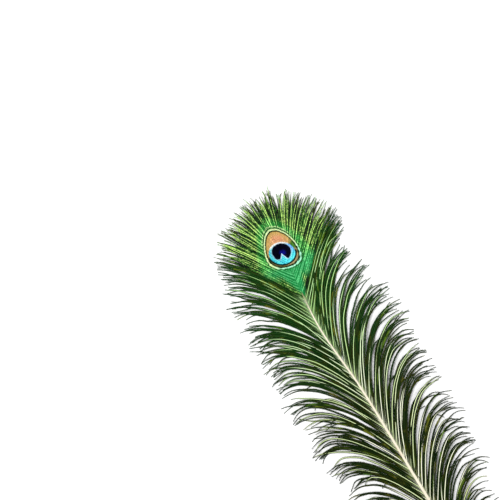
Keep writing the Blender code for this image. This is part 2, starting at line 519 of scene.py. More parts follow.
# The barbs' map, in shares of a column's width, of the ridge's half width and of a row's height
COLUMN_FILLED = 0.32
BLADES_ON_MAP, BLADE_ON_MAP = 1.22, 0.25
BLADE_HEIGHT_ON_MAP = 0.006
MAP_HEIGHTS = (0.008, 0.986)


def barb_lines(work, sizes):
    """One curve a barb on its Bezier line, waving a little more towards its tip."""
    line = work.add("GeometryNodeCurvePrimitiveLine", End=(1.0, 0.0, 0.0))
    line = work.add("GeometryNodeResampleCurve", Curve=line, Count=sizes["Stations"])
    roots = store(sizes["Roots"], "number", work.add("GeometryNodeInputIndex"))
    lines = realized(work.add("GeometryNodeInstanceOnPoints", Points=roots, Instance=line))
    along = work.add("GeometryNodeSplineParameter", output="Factor")
    lines = store(lines, "along", along)
    t = work.field("along")
    seed = work.field("tint") * WAVE_SEEDS
    opens_at = work.field("opens_at")
    free = highest((t - opens_at) / (1.0 - opens_at), 0.0)
    course = vector(t * sizes["Waves"], seed, 0.0)
    drift = work.add("ShaderNodeTexNoise", output="Color", Vector=course, Scale=1.0, Detail=1.0)
    waving = (drift - 0.5) * (free * free * sizes["Wave height"]) * WAVE_WAYS
    curling = work.field("curl", "FLOAT_VECTOR") * (free * free * free)
    middle = bezier([work.field(name, "FLOAT_VECTOR") for name in CURVE_POINTS], t)
    x, y, z = parts(middle + waving + curling)
    lines = placed(lines, vector(x, y, highest(z, sizes["Lowest"])))
    return work.add("GeometryNodeSetCurveNormal", {"mode": "Z_UP"}, Curve=lines), t


def ridged_profile(work, flatness):
    """A four-cornered section as wide as 2: flat, with a ridge along its middle.

    Each corner carries how far across it stands, 0 on the ridge and 1 at the edges, and its side.
    """
    ring = work.add("GeometryNodeCurvePrimitiveCircle", Resolution=4)
    x, y, _ = work.position()
    ring = store(ring, "across", abs(x))
    ring = store(ring, "sideways", x)
    return placed(ring, vector(x, y * flatness, 0.0))


def swept(lines, profile, half_width):
    inputs = {"Curve": lines, "Profile Curve": profile, "Scale": half_width, "Fill Caps": True}
    return lines.work.add("GeometryNodeCurveToMesh", inputs=inputs)


def barbules(work, lines, sizes, grown):
    """Thin pointed blades along both sides of each barb, leaning forwards."""
    spacing = sizes["Barbule spacing"]
    points = work.add("GeometryNodeCurveToPoints", {"mode": "LENGTH"}, Curve=lines, Length=spacing)
    points, tangent, *_ = outputs(points)
    inputs = {"Vertices": 3, "Radius Top": 0.0, "Radius Bottom": 1.0, "Depth": 1.0}
    blade = work.add("GeometryNodeMeshCone", {"fill_type": "NGON"}, inputs)
    x, _, z = work.position()
    blade = store(blade, "blade_place", x)
    blade = store(blade, "blade_height", z)
    up = (0.0, 0.0, 1.0)
    across = vector_maths("NORMALIZE", vector_maths("CROSS_PRODUCT", tangent, up))
    half_width = sizes["Barbule width"] * 0.5
    sides = []
    for side, seed in ((1.0, 0), (-1.0, 2)):
        strays = work.chance(-BARBULE_ANGLE_STRAYS, BARBULE_ANGLE_STRAYS, seed)
        angle = sizes["Barbule angle"] + strays
        forwards = tangent * maths("COSINE", angle)
        outwards = across * (maths("SINE", angle) * side)
        rise = vector(0.0, 0.0, work.chance(*BARBULE_RISE, seed + 10))
        axes = {"primary_axis": "Z", "secondary_axis": "Y"}
        inputs = {0: forwards + outwards + rise, 1: up}
        turn = work.add("FunctionNodeAxesToRotation", axes, inputs)
        long = sizes["Barbule length"] * work.chance(*BARBULE_LENGTHS, seed + 20) * grown
        size = vector(half_width, half_width * BARBULE_HEIGHT_OVER_WIDTH, long)
        blades = work.add(
            "GeometryNodeInstanceOnPoints",
            Points=points,
            Selection=grown > BARBULES_FROM_GROWN,
            Instance=blade,
            Rotation=turn,
            Scale=size,
        )
        sideways = side * (BLADES_ON_MAP + BLADE_ON_MAP * work.field("blade_place"))
        sides.append(store(realized(blades), "sideways", sideways))
    return store(join(*sides), "barbule", 1.0)


def laid_out(work, grown, sizes):
    """Adds the map that the looks are baked through: rows of columns, with one barb a column.

    The barb's ridge runs up the middle of its column, with the root at the bottom. The barbules
    lie along the column's edges, at the height where they leave the barb.
    """
    count = work.add("GeometryNodeAttributeDomainSize", Geometry=sizes["Roots"])
    rows = sizes["Map rows"]
    columns = maths("CEIL", count / rows)
    number = work.field("number") + 0.5
    row = maths("FLOOR", number / columns)
    column = number - row * columns + COLUMN_FILLED * work.field("sideways")
    height = work.field("along") + BLADE_HEIGHT_ON_MAP * work.field("blade_height")
    low, high = MAP_HEIGHTS
    height = (row + low + (high - low) * height) / rows
    place = vector(column / columns, height, 0.0)
    return store(grown, "OFBake", place, "FLOAT2", "CORNER")


def stem_width(sizes, t):
    return between((sizes["Stem width"], sizes["Stem tip width"]), t)


def pointed_tip(sizes, t):
    return 1.0 - TIP_NARROWS_BY * smooth(t, sizes["Points from"], 1.0)


def fringe_growth(sizes, t, start, full):
    """How far the fringe has grown: none before start, all from full on, less at the tip."""
    fading = sizes["Fringe fades by"] * smooth(t, sizes["Fringe fades from"], 1.0)
    return smooth(t, start, full) * (1.0 - fading)


def loose_barb_tree():
    """Barbs with a thin stem and open barbules on both sides."""
    work, sizes = geometry_tree("loose barbs", LOOSE_SIZES)
    lines, t = barb_lines(work, sizes)
    width = stem_width(sizes, t) * (DARK_STEM + PALE_STEM_MORE * work.field("pale"))
    pointed = pointed_tip(sizes, t)
    bare = sizes["Bare share"]
    grown = fringe_growth(sizes, t, bare * 0.5, bare + sizes["Fringe opens over"])
    stem, fringe = width * pointed * 0.5, sizes["Fringe"] * grown * pointed
    lines = store(lines, "stem_share", stem / (stem + fringe))
    stems = swept(lines, ridged_profile(work, sizes["Ridge"]), stem + fringe)
    blades = barbules(work, lines, sizes, grown)
    return finish_tree(work, laid_out(work, join(stems, blades), sizes), sizes["Material"])


def fan_barb_tree():
    """Barbs that close up in ridged ribbons near the eye and open out past its halo."""
    work, sizes = geometry_tree("fan barbs", FAN_SIZES)
    lines, t = barb_lines(work, sizes)
    to_next = bezier([work.field(name, "FLOAT_VECTOR") for name in TO_NEXT_POINTS], t)
    apart = vector_maths("CROSS_PRODUCT", work.add("GeometryNodeInputTangent"), to_next)
    gap = vector_maths("LENGTH", apart, output="Value")
    opens_at = work.field("opens_at")
    closed = smooth(t, opens_at + sizes["Ribbon ends over"], opens_at)
    stem = stem_width(sizes, t) * 0.5
    ribbon = highest(gap * sizes["Overlap"], stem)
    grown = fringe_growth(sizes, t, opens_at, opens_at + sizes["Fringe opens over"])
    fringe = sizes["Fringe"] * grown
    half_width = (between((stem, ribbon), closed) + fringe) * pointed_tip(sizes, t)
    lines = store(lines, "stem_share", 1.0 - grown * (fringe / (stem + fringe)))
    ribbons = swept(lines, ridged_profile(work, sizes["Ridge"]), half_width)
    blades = barbules(work, lines, sizes, grown)
    return finish_tree(work, laid_out(work, join(ribbons, blades), sizes), sizes["Material"])


def shaft_tree():
    """A rounded section with a groove along its underside, swept along the shaft."""
    work, sizes = geometry_tree("shaft", SHAFT_SIZES)
    line = work.add("GeometryNodeMeshToCurve", Mesh=sizes["Roots"])
    line = work.add("GeometryNodeSetCurveNormal", {"mode": "Z_UP"}, Curve=line)
    ring = work.add("GeometryNodeCurvePrimitiveCircle", Resolution=sizes["Sides"])
    x, y, _ = work.position()
    groove = maths("EXPONENT", x * x * -GROOVE_NARROWNESS) * (y < 0.0) * sizes["Groove"]
    section = placed(ring, vector(x, y * sizes["Flatness"] + groove, 0.0))
    body = swept(line, section, work.field("half_width"))
    body = work.add("GeometryNodeSetShadeSmooth", Geometry=body)
    return finish_tree(work, body, sizes["Material"])


def new_object(name, data):
    made = bpy.data.objects.new(name, data)
    bpy.context.scene.collection.objects.link(made)
    return made


def grow(name, roots, tree, sizes, looks):
    """Runs a tree on a mesh and keeps what grew as a plain mesh."""
    holder = new_object(name, roots)
    modifier = holder.modifiers.new(tree.name, "NODES")
    modifier.node_group = tree
    values = {**sizes, "Material": looks}
    for item in tree.interface.items_tree:
        if item.in_out == "INPUT" and item.name in values:
            modifier[item.identifier] = values[item.name]
    seen = holder.evaluated_get(bpy.context.evaluated_depsgraph_get())
    grown = bpy.data.meshes.new_from_object(seen)
    holder.modifiers.clear()
    holder.data = grown
    grown.name = name
    # The barbules' cones bring an empty slot with them
    grown.materials.clear()
    grown.materials.append(looks)
    return holder


# -------- the barbs' roots


def carry(mesh, label, values):
    """Gives each vertex of a mesh its number or vector."""
    values = np.array(values, np.float32)
    kind, slot = ("FLOAT_VECTOR", "vector") if values.ndim == 2 else ("FLOAT", "value")
    mesh.attributes.new(label, kind, "POINT").data.foreach_set(slot, values.ravel())


def seedbed(barbs):
    """A mesh of one vertex a barb, which carries the barb's curve and looks as attributes."""
    mesh = bpy.data.meshes.new("roots")
    mesh.from_pydata([barb["curve"][0] for barb in barbs], [], [])
    for place, (curve_label, gap_label) in enumerate(zip(CURVE_POINTS, TO_NEXT_POINTS)):
        carry(mesh, curve_label, [barb["curve"][place] for barb in barbs])
        carry(mesh, gap_label, [barb["to_next"][place] for barb in barbs])
    for label in ("curl", "tint", "tuft", "pale", "opens_at"):
        carry(mesh, label, [barb[label] for barb in barbs])
    return mesh


def new_barb(curve, tint, tuft=0.0, pale=0.0, curl=0.0, opens_at=0.0, to_next=np.zeros((4, 3))):
    """A barb to grow: curl is how far its tip is carried off to the outer side of its curve.

    tint is the barb's own shade, tuft that of the few barbs that lie together with it, and pale
    how light it is, partly its own tone and partly painted light on a lit barb. The light barbs
    lie above the dark ones.
    """
    curve = curve.copy()
    curve[1:3, 2] += pale * PALE_LIFT
    run = curve[3] - curve[2]
    outer = np.array([run[1], -run[0], 0.0]) * math.copysign(1.0, curve[3][0] - curve[0][0])
    return {
        "curve": curve + PLAN_STEP,
        "tint": tint,
        "tuft": tuft,
        "pale": pale,
        "curl": curl * outer / np.linalg.norm(outer),
        "opens_at": opens_at,
        "to_next": to_next,
    }


def draw_together(chance, barbs, pull):
    """Gathers neighbours in tufts of a few barbs, whose tips lean towards the tuft's middle.

    Light and dark tufts take turns, with a few exceptions: partly the barbs' own tones and partly
    painted light and shade, lit tufts over shaded ones.
    """
    start, light = 0, True
    while start < len(barbs):
        count = chance.integers(*(FAN_PALE_TUFT if light else FAN_DULL_TUFT))
        tuft = barbs[start : start + int(count)]
        start += len(tuft)
        middle = np.mean([barb["curve"][3] for barb in tuft], axis=0)
        shade, pale = chance.random(), chance.uniform(*(PALE if light else DULL))
        shown = pale * float(np.interp(start, *FAN_DULL_AT_START))
        for barb in tuft:
            barb["tuft"], barb["pale"] = shade, shown
            barb["curve"][1:3, 2] += pale * PALE_LIFT
            barb["curl"] = barb["curl"] + pull * (middle - barb["curve"][3]) * (1.0, 1.0, 0.0)
        light = light ^ (chance.random() < FAN_TUFTS_ALTERNATE)
    return barbs


def drifting(chance, count, every, drift, stray):
    """A random course about 0 that drifts over some barbs at a time, while each barb strays."""
    knots = chance.normal(0.0, 1.0, count // every + 3)
    course = np.interp(np.arange(count) / every, np.arange(len(knots)), knots)
    return drift * course + chance.normal(0.0, stray, count)


def loose_barbs(side, from_y, to_y, seed):
    """The barbs of one side between two places on the shaft."""
    chance = np.random.default_rng(seed)
    places, y = [], from_y
    while y < to_y:
        places.append(y)
        y += between(LOOSE_SPACING, (y - LOOSE_FROM_Y) / (LOOSE_TO_Y - LOOSE_FROM_Y))
    turns, curls, lengths = (
        drifting(chance, len(places), LOOSE_DRIFTS_OVER, *spread)
        for spread in (LOOSE_TURN, LOOSE_CURL, LOOSE_LENGTH)
    )
    calm = np.interp(places, *CALM_NEAR_FAN)
    turns, curls = np.minimum(turns * calm, MOST_TURN), curls * calm
    made = []
    longers = np.minimum(1.0 + lengths, LONGEST)
    for number, (place, turned, curled, longer) in enumerate(zip(places, turns, curls, longers)):
        if chance.random() < STRAY_SHARE and place < STRAYS_UP_TO_Y:
            turned += chance.uniform(*STRAY_TURN)
            curled += chance.uniform(*STRAY_CURL)
            longer *= chance.uniform(*STRAY_LENGTH)
        arch, tip_z = chance.uniform(*LOOSE_ARCH), chance.uniform(*LOOSE_TIP_Z)
        curve = barb_curve(share_at(place), side, turned, curled, longer, arch, tip_z)
        # Every few barbs pale: partly their own tone, partly a painted highlight of a lit barb
        light = number % LOOSE_PALE_EVERY == 0
        pale = chance.uniform(*(PALE if light else DULL))
        pale *= float(np.interp(place, *DULLER_NEAR_FAN))
        made.append(new_barb(curve, chance.random(), chance.random(), pale))
    return made


def fan_barbs(side, seed):
    """The barbs of one side of the fan, each with its way to the next one."""
    chance = np.random.default_rng(seed)
    shares = np.linspace(*FAN_SHARES, FAN_BARBS)
    share_step = shares[1] - shares[0]
    curls, lengths = (
        drifting(chance, FAN_BARBS, FAN_DRIFTS_OVER, *spread) for spread in (FAN_CURL, FAN_LENGTH)
    )
    made = []
    for share, curl, longer in zip(shares, curls, 1.0 + lengths):
        plain = barb_curve(share, side)
        next_along = barb_curve(min(1.0, share + share_step), side)
        before = barb_curve(share - share_step, side)
        arch = chance.uniform(*FAN_ARCH)
        curve = barb_curve(
            share,
            side,
            turned=chance.normal(0.0, FAN_TURN),
            longer=longer,
            arch=arch,
            tip_z=chance.uniform(*FAN_TIP_Z),
        )
        opens_at = opening_place(plain) + chance.normal(0.0, FAN_OPENS_STRAYS)
        opens_at = max(FAN_OPENS_LEAST, opens_at)
        last = share + share_step > 1.0
        to_next = plain - before if last else next_along - plain
        tint = chance.random()
        made.append(new_barb(curve, tint, curl=curl, opens_at=opens_at, to_next=to_next))
    return draw_together(chance, made, FAN_TUFT_PULL)


def down_barbs(side, seed):
    """Short soft barbs where the quill ends and the shaft begins."""
    chance = np.random.default_rng(seed)
    made = []
    for place in np.arange(DOWN_FROM_Y, DOWN_TO_Y, DOWN_SPACING):
        reach = between(DOWN_REACH, (place - DOWN_FROM_Y) / (DOWN_TO_Y - DOWN_FROM_Y))
        share = share_at(max(place, BARB_PLAN[0][1]))
        curve = barb_curve(
            share,
            side,
            turned=chance.normal(*DOWN_TURN),
            curled=chance.normal(0.0, DOWN_CURL),
            longer=reach * chance.uniform(*DOWN_LENGTHS) / barb_plan(share)[1],
            arch=chance.uniform(*DOWN_ARCH),
            tip_z=chance.uniform(*DOWN_TIP_Z),
        )
        curve += np.array([0.0, place - barb_plan(share)[0], 0.0])
        made.append(new_barb(curve, chance.random(), chance.random(), DOWN_PALENESS))
    return made


def shaft_line():
    """The shaft's middle line as a mesh of edges, with its half width at each point."""
    along_shaft = np.linspace(SHAFT_WIDTHS[1][0], SHAFT_END_Y, SHAFT_STATIONS)
    places = [*QUILL_END_PLACES, *along_shaft]
    halves = np.array([0.5 * shaft_width(y) for y in places])
    heights = SHAFT_FLATNESS * halves
    points = [PLAN_STEP + (shaft_x(y), y, z) for y, z in zip(places, heights)]
    halves[0] *= QUILL_END_NARROWS_TO
    mesh = bpy.data.meshes.new("shaft line")
    mesh.from_pydata(points, [(i, i + 1) for i in range(len(points) - 1)], [])
    carry(mesh, "half_width", halves)
    return mesh


# -------- materials


def paint(red, green, blue):
    """A colour read on a scale of 255, as the linear colour that a shader takes."""
    shares = (channel / 255 for channel in (red, green, blue))
    return tuple(s / 12.92 if s < 0.04045 else ((s + 0.055) / 1.055) ** 2.4 for s in shares)


def new_material(name):
    """A material and its node work."""
    made = bpy.data.materials.new(name)
    made.use_nodes = True
    return made, NodeWork(made.node_tree)


def surface(made, **values):
    """Puts constants, and what varies over the surface, on the sockets of the shader."""
    tree = made.node_tree
    NodeWork(tree).fill(tree.nodes["Principled BSDF"], values)
    return made


def object_place(work):
    """Where a place on the surface is, as three numbers."""
    return parts(work.add("ShaderNodeTexCoord", output="Object"))


def bumps(height, strength, distance):
    inputs = {"Height": height, "Strength": strength, "Distance": distance}
    return height.work.add("ShaderNodeBump", inputs=inputs)


BRONZE = paint(222, 172, 112)
BRONZE_PINK = paint(222, 156, 114)
BRONZE_LIGHT = paint(246, 206, 152)
BRONZE_OCHRE = paint(196, 168, 88)
BRONZE_SHADE = paint(122, 112, 44)
OLIVE_BAND = paint(112, 100, 56)
TAN_BAND = paint(170, 150, 104)
GREEN_BAND = paint(70, 124, 34)
DARK_LINE = paint(16, 40, 6)
PALE_RING = paint(228, 254, 186)
PALE_RING_LOW = paint(172, 250, 208)
RING_EDGE = paint(8, 84, 26)
HALO = paint(44, 150, 60)
HALO_LIGHT = paint(150, 236, 128)
HALO_DARK = paint(6, 66, 16)
WEDGE = paint(22, 132, 64)
WEDGE_LIGHT = paint(92, 200, 126)
FAN = paint(44, 108, 32)
FAN_GOLD = paint(188, 222, 118)
FAN_DARK = paint(3, 22, 5)
FAN_BLADE = paint(8, 46, 12)
FAN_BLADE_BRONZE = paint(44, 56, 10)
FAN_BLADE_LIGHT = paint(58, 122, 46)
FAN_TIP = paint(66, 78, 24)
CYAN = paint(40, 196, 220)
CYAN_LIGHT = paint(100, 232, 228)
CYAN_DEEP = paint(12, 138, 176)
SKY_BLUE = paint(104, 176, 246)
BRIM = paint(246, 246, 238)
HEART_LINING = paint(206, 220, 252)
POOL_EDGE = paint(2, 34, 26)
HEART = paint(7, 8, 26)
HEART_GLOW = paint(16, 20, 140)

# The eye's shapes, in millimetres across and up from its centre. The pool and the heart lie
# turned against the shaft.
RING_TILT = math.radians(-4.5)
RING_CENTRE, RING_HALF_WIDTH, RING_ABOVE, RING_BELOW = (-0.24, 1.31), 16.95, 22.25, 21.7
RING_NARROWS, RING_WIDENS, RING_NARROWEST = 0.60, 0.49, 0.2
RING_SKEW = 0.243
RING_INNER, RING_OUTER = 0.960, 1.040
SECOND_RING = (1.145, 1.175)
HEART_TILT = math.radians(-30.0)
POOL_CENTRE, POOL_HALVES = (0.95, -3.35), (13.9, 11.5)
POOL_LINE = 1.13
BRIM_FROM = 0.915
HEART_CENTRE, HEART_HALVES = (0.35, -1.60), (10.2, 8.5)
HEART_LOBES = (((-3.6, -6.9), 3.1), ((6.4, -5.2), 3.4))
NOTCH_TIP = (0.5, -3.5)
NOTCH_LEFT_ANGLE, NOTCH_RIGHT_ANGLE = math.radians(-12.0), math.radians(232.3)
GLOW_CENTRE, GLOW_HALVES = (1.6, -2.6), (5.0, 4.0)
PINK_CENTRE, PINK_HALVES = (-4.5, 11.0), (8.0, 6.5)
SPOTS_BELOW = (13.0, 6.0)
GREEN_BAND_RISE, GREEN_BAND_RAGGED, GREEN_BAND_FROM = 0.25, 3.0, (5.5, 11.0)
BAND_RISE = 0.36
TAN_BAND_FROM = (4.0, 12.0)
SKY_FROM_ACROSS, SKY_FROM_UP = (3.0, 9.0), (-4.0, 4.0)

# The green wedge that runs from the eye down to its point on the shaft
WEDGE_MIDDLE, WEDGE_POINT, WEDGE_OPENS = -2.0, -50.0, 0.42
WEDGE_EDGE, WEDGE_FROM = (5.0, -1.0), (-10.0, -24.0)


def turned_axes(p, q, angle):
    """How far a place is across and up, measured on axes turned by an angle."""
    return p * math.cos(angle) + q * math.sin(angle), q * math.cos(angle) - p * math.sin(angle)


def ring_place(p, q, ragged):
    """How far across, up and out a place is by the pale ring, which is egg shaped.

    All three are shares of the ring's own size, so out is 1 on the ring.
    """
    ring_p, ring_q = turned_axes(p, q, RING_TILT)
    across = (ring_p - RING_CENTRE[0]) / RING_HALF_WIDTH
    rise = ring_q - RING_CENTRE[1]
    above, below = highest(rise, 0.0) / RING_ABOVE, lowest(rise, 0.0) / RING_BELOW
    up = above + below
    narrowing = 1.0 + RING_NARROWS * above + RING_WIDENS * below
    narrowing = highest(narrowing, RING_NARROWEST)
    skew = RING_SKEW * across * up * abs(up)
    out = maths("SQRT", across * across * narrowing + up * up + skew)
    return across, up, out + ragged


def round_the_ring(p, q, up, out, streak, fan):
    """The fan's own colour, under a streaky halo, a green wedge and a broken second ring."""
    # Halo and wedge lighter and darker as streak runs: partly tone, partly painted light and shade
    halo = blend(HALO, HALO_LIGHT, streak, 0.50, 0.85)
    halo = blend(halo, HALO_DARK, streak, 0.44, 0.20)
    low_halo = blend(WEDGE, WEDGE_LIGHT, streak, 0.35, 0.85)
    halo = blend(halo, low_halo, up, -0.4, -1.1)
    outside = abs(p - WEDGE_MIDDLE) - (q - WEDGE_POINT) * WEDGE_OPENS
    wedge = smooth(outside, *WEDGE_EDGE) * smooth(q, *WEDGE_FROM)
    colour = mix(highest(smooth(out, 1.75, 1.25), wedge), fan, halo)
    second = band(out, *SECOND_RING, 0.03)
    second = second * smooth(up, 0.2, 0.7) * smooth(streak, 0.2, 0.5)
    return mix(second * 0.75, colour, PALE_RING)


def ring_colours(across, up, out, colour):
    """The pale ring, with a green edge outside it and a dark line inside."""
    low_right = smooth(across * 0.4 - up, 0.2, 0.9)
    rim = RING_OUTER - 0.022 * low_right
    green_edge = band(out, rim, rim + 0.035 + 0.03 * smooth(up, 0.1, 0.6), 0.02)
    colour = mix(green_edge * 0.85, colour, RING_EDGE)
    ring = mix(low_right, PALE_RING, PALE_RING_LOW)
    colour = blend(colour, ring, out, rim + 0.01, rim - 0.01)
    return blend(colour, DARK_LINE, out, RING_INNER + 0.01, RING_INNER - 0.01)


def bronze_field(a, b, rising, out, tint, streak):
    """The bronze that fills the ring, green at its right, with an olive and tan band below."""
    pink = oval(a, b, PINK_CENTRE, PINK_HALVES)
    field = blend(BRONZE, BRONZE_PINK, pink, 1.3, 0.4)
    field = blend(field, BRONZE_LIGHT, streak, 0.55, 0.85, most=0.6)
    field = blend(field, BRONZE_OCHRE, out, 0.55, 0.90, most=0.45 + 0.55 * tint)
    spots = smooth(streak, 0.42, 0.20) * smooth(b, *SPOTS_BELOW)
    field = mix(spots * 0.7, field, BRONZE_SHADE)
    greening = a - b * GREEN_BAND_RISE + tint * GREEN_BAND_RAGGED
    field = blend(field, GREEN_BAND, greening, *GREEN_BAND_FROM)
    low_band = blend(OLIVE_BAND, TAN_BAND, a, *TAN_BAND_FROM)
    return blend(field, low_band, rising, -1.0, -4.5)


def pool_colours(a, b, rising, ragged, streak, colour):
    """The blue pool, with a dark edge below it and a white brim above."""
    pool = oval(a, b, POOL_CENTRE, POOL_HALVES) + ragged * 0.6
    edge = smooth(pool, POOL_LINE + 0.03, POOL_LINE - 0.02)
    colour = mix(edge * smooth(rising, -3.4, -5.4), colour, POOL_EDGE)
    blue = blend(CYAN, CYAN_LIGHT, streak, 0.25, 0.80)
    blue = blend(blue, CYAN_DEEP, streak, 0.38, 0.15)
    sky = smooth(a, *SKY_FROM_ACROSS) * smooth(b, *SKY_FROM_UP)
    blue = mix(sky, blue, SKY_BLUE)
    colour = blend(colour, blue, pool, 1.015, 0.985)
    brim = band(pool, BRIM_FROM, 1.02, 0.03) * smooth(rising, 3.6, 6.0)
    return mix(brim * 0.95, colour, BRIM)


def heart_shape(a, b):
    """Millimetres outside the heart, without its notch, and outside the notch's own two lines."""
    body = (oval(a, b, HEART_CENTRE, HEART_HALVES) - 1.0) * HEART_HALVES[1]
    for centre, radius in HEART_LOBES:
        body = lowest(body, (oval(a, b, centre, (radius, radius)) - 1.0) * radius)

    def beyond(angle):
        """How far a place lies on one side of the line through the notch's tip."""
        return (a - NOTCH_TIP[0]) * math.cos(angle) + (b - NOTCH_TIP[1]) * math.sin(angle)

    return body, lowest(beyond(NOTCH_LEFT_ANGLE), beyond(NOTCH_RIGHT_ANGLE))


def eye_pattern(p, q, tint, streak, soft_streak, ragged, fan):
    """The eye's colours over millimetres across (p) and up (q) from its centre.

    Returns the colour, and how far it is the eye's dark heart.
    """
    across, up, out = ring_place(p, q, ragged)
    colour = round_the_ring(p, q, up, out, streak, fan)
    colour = ring_colours(across, up, out, colour)
    a, b = turned_axes(p, q, HEART_TILT)
    rising = b - a * BAND_RISE
    field = bronze_field(a, b, rising, out, tint, soft_streak)
    colour = blend(colour, field, out, 0.90, 0.87)
    colour = pool_colours(a, b, rising, ragged, soft_streak, colour)
    body, notch = heart_shape(a, b)
    heart = highest(body, notch) + ragged * 8.0
    lining = smooth(heart, 1.6, 0.5) * (0.30 + 0.45 * smooth(body, 0.5, -0.7))
    colour = mix(lining, colour, HEART_LINING)
    glow = oval(a, b, GLOW_CENTRE, GLOW_HALVES)
    deep = blend(HEART, HEART_GLOW, glow, 1.0, 0.15, most=0.75)
    heart_mask = smooth(heart, 0.3, -0.3)
    return mix(heart_mask, colour, deep), heart_mask


# What the barbs' materials read from the mesh
BARB_NUMBERS = ("tint", "tuft", "pale", "along", "barbule", "across", "stem_share")


def eye_vane_material():
    """The fan and its eye: colours lie across the barbs, each barb a shade of its own."""
    made, work = new_material("eye vane")
    x, y, _ = object_place(work)
    p, q = (x - EYE_X) / MM, (y - EYE_Y) / MM
    tint, tuft, pale, along, blade, across, share = map(work.attribute, BARB_NUMBERS)
    off_stem = highest(blade, smooth(across, share, share + 0.1))
    fine = noise(tint * 83.0, along * 55.0, roughness=0.7)
    broad = noise(tint * 9.0, along * 16.0, 3.0, detail=1.0)
    ragged = (tint - 0.5) * 0.035 + (fine - 0.5) * 0.03
    mottle = (fine - 0.5) * 0.7 + (broad - 0.5) * 0.7
    soft_streak = tint * 0.55 + tuft * 0.30 + mottle + 0.07
    # streak: partly each barb's own tone, partly painted light and shade of lit and shaded tufts
    streak = pale * 0.65 + tint * 0.20 + mottle + 0.08
    rib = blend(FAN, FAN_GOLD, streak, 0.45, 0.80)
    rib = blend(rib, FAN_DARK, streak, 0.48, 0.25)
    open_blade = blend(FAN_BLADE, FAN_BLADE_BRONZE, tuft, 0.4, 0.7)
    open_blade = blend(open_blade, FAN_BLADE_LIGHT, streak, 0.50, 0.85)
    open_blade = blend(open_blade, FAN_DARK, streak, 0.45, 0.25)
    fan = mix(off_stem, rib, open_blade)
    dull_tip = smooth(along, 0.72, 1.0) * smooth(pale, 0.7, 0.4)
    fan = mix(dull_tip * 0.6, fan, FAN_TIP)
    colour, heart = eye_pattern(p, q, tint, streak, soft_streak, ragged, fan)
    # Painted light and shade: speckled highlights along the barbs, shade at each ribbon's edges
    lit = (0.72 + 0.65 * smooth(fine, 0.3, 0.7)) * (1.15 - 0.45 * across)
    hatching = noise(tint * 40.0, along * 260.0, detail=1.0)
    return surface(
        made,
        Base_Color=colour * lit,
        Metallic=0.25 + 0.7 * heart,
        Roughness=0.42,
        Specular_IOR_Level=0.12,
        Normal=bumps(hatching, 0.35, 0.2 * MM),
    )


LOOSE_GREEN = paint(10, 32, 5)
LOOSE_GREEN_NEAR_EYE = paint(8, 58, 12)
LOOSE_BRONZE = paint(46, 50, 8)
LOOSE_BLACK = paint(4, 8, 2)
LOOSE_GLINT = paint(84, 132, 30)
LOOSE_GLINT_GOLD = paint(132, 124, 34)
STEM_OLIVE = paint(60, 72, 26)
STEM_CREAM = paint(238, 240, 214)
STEM_GREEN = paint(200, 216, 160)
STEM_LEAF = paint(146, 200, 116)

# Where the barbs turn greener, in metres below the eye
LOOSE_GREENS = (0.22, 0.04)


def loose_barb_material():
    """Dark green and bronze barbules; a stem that is pale at the shaft and on some barbs."""
    made, work = new_material("loose barbs")
    _, y, _ = object_place(work)
    tint, tuft, pale, along, blade, across, share = map(work.attribute, BARB_NUMBERS)
    patches = noise(along * 7.0, tint * 31.0, detail=3.0)
    near_eye = smooth(EYE_Y - y, *LOOSE_GREENS)
    green = mix(near_eye, LOOSE_GREEN, LOOSE_GREEN_NEAR_EYE)
    bronze = mix(tint, LOOSE_BRONZE, LOOSE_BLACK)
    bronzed = smooth(patches, 0.45, 0.62) * (1.0 - 0.55 * near_eye)
    dark = mix(bronzed, green, bronze)
    glint = smooth(patches, 0.50, 0.62) * smooth(tint, 0.55, 0.80)
    dark = mix(glint * 0.7, dark, mix(tuft, LOOSE_GLINT, LOOSE_GLINT_GOLD))
    light = blend(STEM_CREAM, STEM_GREEN, tuft, 0.3, 0.8)
    light = mix(near_eye * 0.8, light, STEM_LEAF)
    # Pale stems run further out on pale barbs: partly own colour, partly a painted highlight
    reach = 0.02 + smooth(pale, 0.35, 0.65) * (0.45 + 0.65 * tuft)
    paling = smooth(along - reach, 0.16, -0.10)
    ridge = smooth(across, share, share - 0.1) * (1.0 - blade)
    stem = mix(paling, mix(0.35, dark, STEM_OLIVE), light)
    colour = mix(ridge, dark, stem)
    lit = 0.80 + 0.40 * noise(along * 34.0, tint * 57.0)
    return surface(
        made,
        Base_Color=colour * lit,
        Metallic=0.3,
        Roughness=0.34 + 0.24 * patches,
        Specular_IOR_Level=0.06,
        Normal=bumps(noise(along * 400.0, tint * 40.0), 0.3, 0.1 * MM),
    )


DOWN_GREY = paint(150, 138, 122)
DOWN_BROWN = paint(112, 98, 82)
DOWN_PALE = paint(196, 188, 174)


def down_material():
    """Soft grey-brown down."""
    made, work = new_material("down")
    tint, along = map(work.attribute, ("tint", "along"))
    patches = noise(along * 5.0, tint * 31.0)
    grey = mix(tint, DOWN_GREY, DOWN_BROWN)
    return surface(
        made,
        Base_Color=blend(grey, DOWN_PALE, patches, 0.3, 0.75),
        Roughness=0.8,
        Sheen_Weight=0.4,
        Normal=bumps(patches, 0.2, 0.1 * MM),
    )


IVORY = paint(236, 230, 212)
IVORY_GRAIN = paint(206, 196, 166)
TAN = paint(196, 164, 112)
TAN_GRAIN = paint(164, 128, 80)
QUILL = paint(214, 208, 190)
QUILL_GRAIN = paint(172, 164, 142)
QUILL_TIP = paint(120, 100, 74)
SHAFT_BY_EYE = paint(112, 118, 56)

# Where the shaft changes colour, in metres above the quill's end and below the eye
QUILL_CLEARS = (0.062, 0.030)
QUILL_DARKENS = (0.004, 0.0)
SHAFT_GREENS = (0.078, 0.046)


